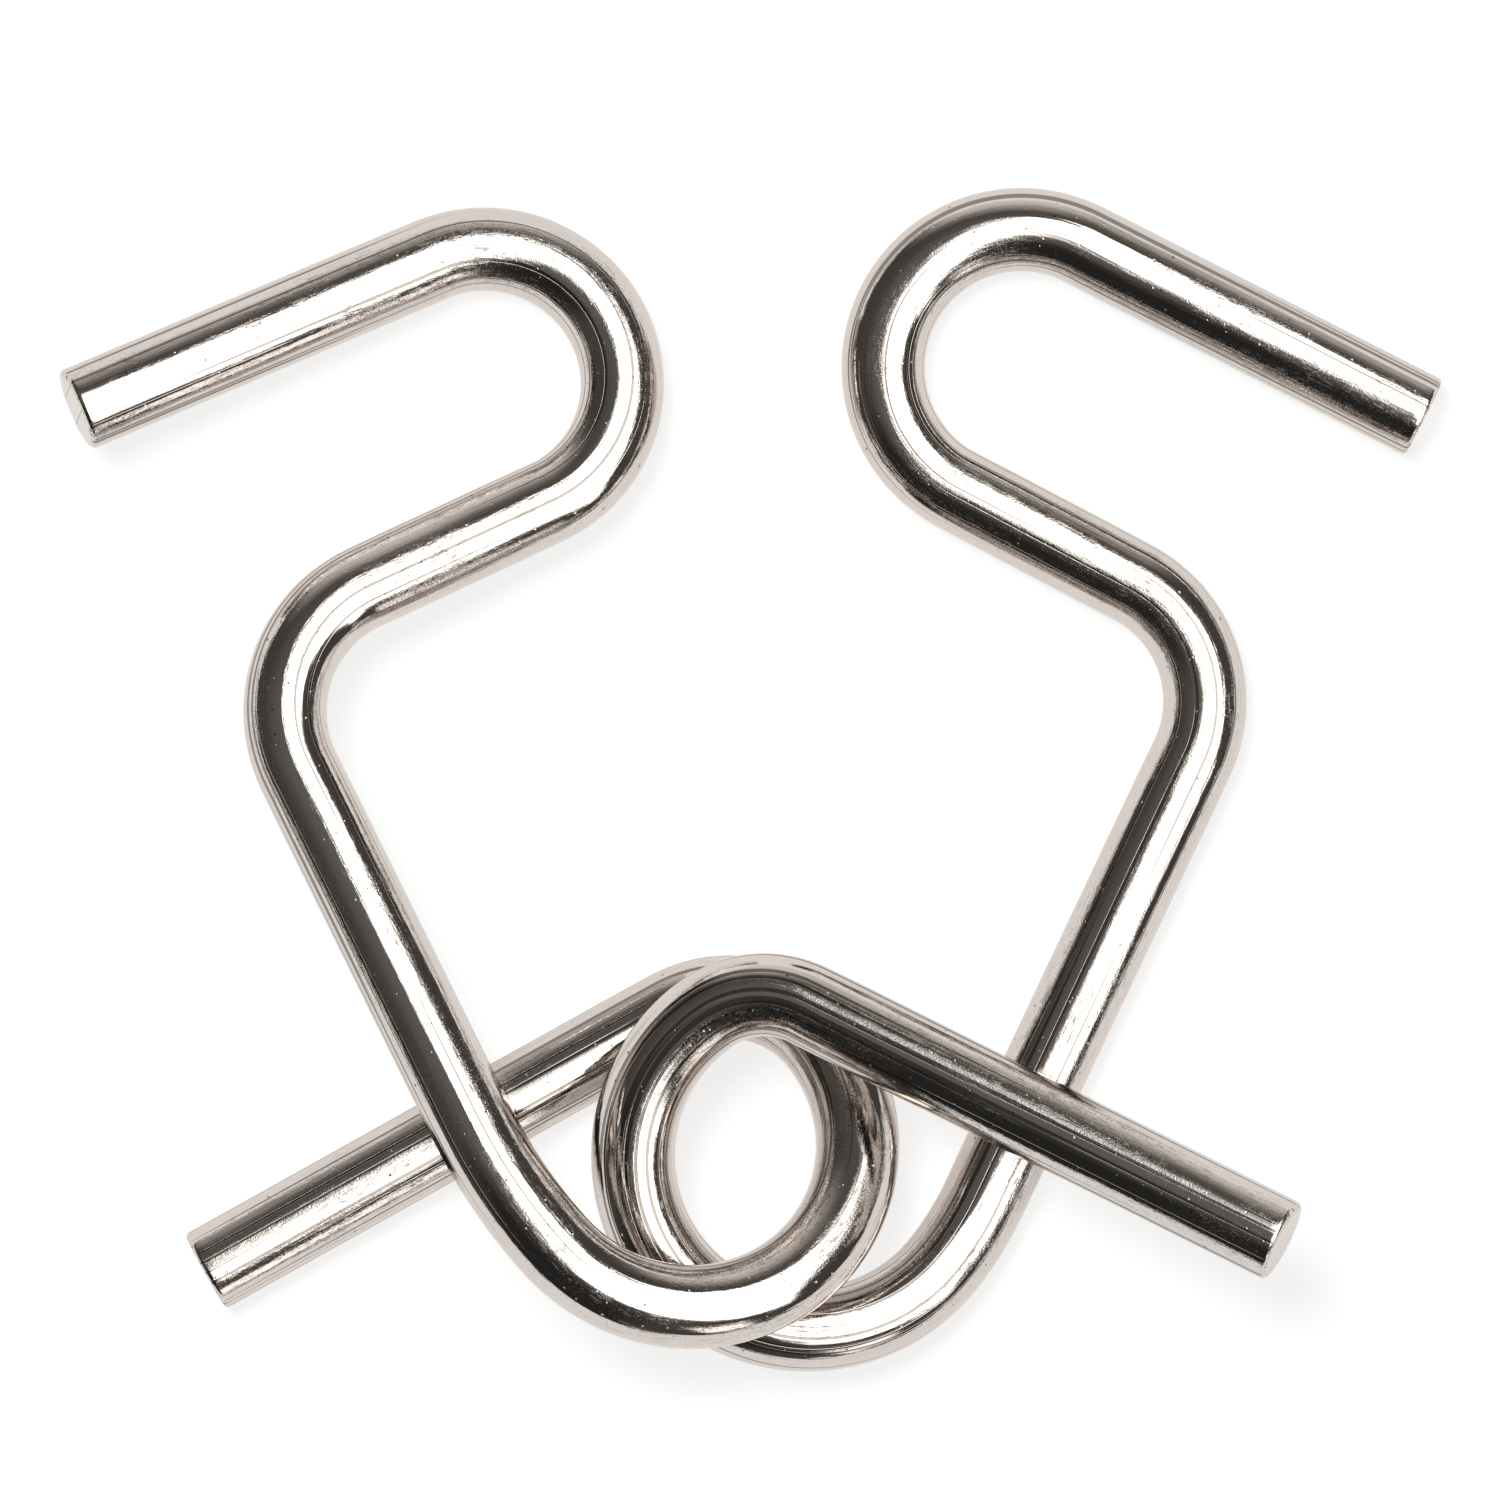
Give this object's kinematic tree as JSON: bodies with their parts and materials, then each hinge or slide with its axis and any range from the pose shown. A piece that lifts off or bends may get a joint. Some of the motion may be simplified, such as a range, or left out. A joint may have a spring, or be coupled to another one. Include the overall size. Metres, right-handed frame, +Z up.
{
  "type": "bent-wire disentanglement puzzle",
  "caption": "Hooks bent from round bright metal wire, linked through their open end loops, that are worked apart by hand as a puzzle.",
  "frame": {"origin": "under the middle of the pair's bounding box, on the table that it lies on", "axes": "+Z up from the table, +Y from the linked loops towards the hook bends, +X from the left hook to the right hook"},
  "size_m": [0.065, 0.0558, 0.0147],
  "materials": {
    "nickel": "bright nickel plate on bent steel wire, lightly tumbled"
  },
  "bodies": {
    "left": {"left_hook": "nickel"},
    "right": {"right_hook": "nickel"}
  },
  "joints": [
    {"name": "loop_swing", "type": "hinge", "parent": "left", "child": "right", "pos_m": [-0.0026, -0.02067, 0.0061], "axis": [0.5208, -0.7912, -0.3205], "range_deg": [0, 126]}
  ]
}
